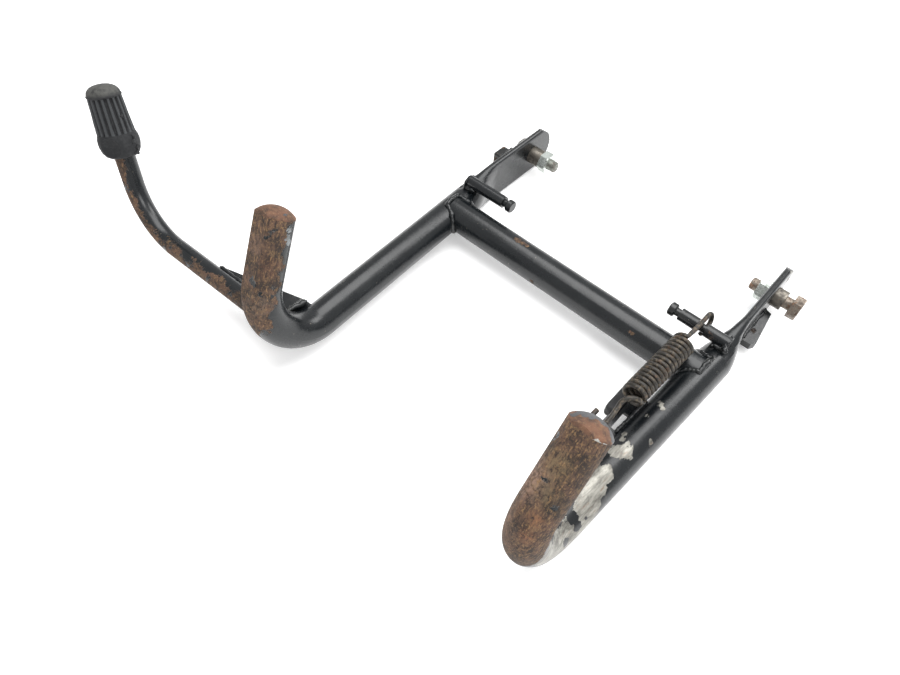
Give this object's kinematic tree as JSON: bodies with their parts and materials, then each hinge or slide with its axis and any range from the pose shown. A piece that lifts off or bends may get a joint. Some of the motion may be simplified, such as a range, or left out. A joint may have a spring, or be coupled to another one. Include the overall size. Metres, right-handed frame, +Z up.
{
  "type": "motorcycle main stand",
  "caption": "Motorcycle main stand: two bent tube legs on pivot bolts, joined by a cross tube, with a foot lever and rubber pedal, spring posts, return spring and stop buffer.",
  "frame": {"origin": "middle of the pivot axis, halfway between the two ears", "axes": "+X along the pivot axis to the machine's right, +Y forward, +Z up with the stand lying stowed"},
  "size_m": [0.4776, 0.3434, 0.1348],
  "materials": {
    "frame_paint": "semi-gloss black paint with a few bare patches",
    "foot_steel": "rusty steel with traces of black paint",
    "lever_steel": "black paint with rust showing through",
    "sleeve_steel": "darkened steel, slightly greasy",
    "bolt_steel": "dull steel with brown rust on the head",
    "zinc_nut": "bright zinc",
    "spring_steel": "dark spring steel with light rust",
    "pedal_rubber": "moulded ribbed rubber, worn",
    "buffer_rubber": "rough matte rubber"
  },
  "bodies": {
    "stand": {"left_leg": "frame_paint", "right_leg": "frame_paint", "cross_tube": "frame_paint", "left_foot_cap": "foot_steel", "right_foot_cap": "foot_steel", "left_spring_post": "frame_paint", "right_spring_post": "frame_paint", "right_stop_tab": "frame_paint", "left_stop_lug": "frame_paint", "lever_gusset": "frame_paint", "foot_lever": "lever_steel", "pedal_rubber": "pedal_rubber", "buffer_bracket": "frame_paint", "rubber_buffer": "buffer_rubber"},
    "left_pivot": {"left_pivot_bolt": "bolt_steel", "left_pivot_nut": "zinc_nut", "left_pivot_sleeve": "sleeve_steel"},
    "right_pivot": {"right_pivot_bolt": "bolt_steel", "right_pivot_nut": "zinc_nut", "right_pivot_sleeve": "sleeve_steel"},
    "spring": {"return_spring": "spring_steel"}
  },
  "joints": [
    {"name": "left_pivot_turn", "type": "hinge", "parent": "stand", "child": "left_pivot", "pos_m": [-0.124, 0, 0], "axis": [-1, 0, 0], "range_deg": [0, 98]},
    {"name": "right_pivot_turn", "type": "hinge", "parent": "stand", "child": "right_pivot", "pos_m": [0.124, 0, 0], "axis": [-1, 0, 0], "range_deg": [0, 98]},
    {"name": "spring_swing", "type": "hinge", "parent": "stand", "child": "spring", "pos_m": [0.10337, -0.086, 0.01912], "axis": [-1, 0, 0], "range_deg": [0, 100]}
  ],
  "couplings": [
    {"joint": "right_pivot_turn", "follows": "left_pivot_turn", "ratio": 1}
  ]
}
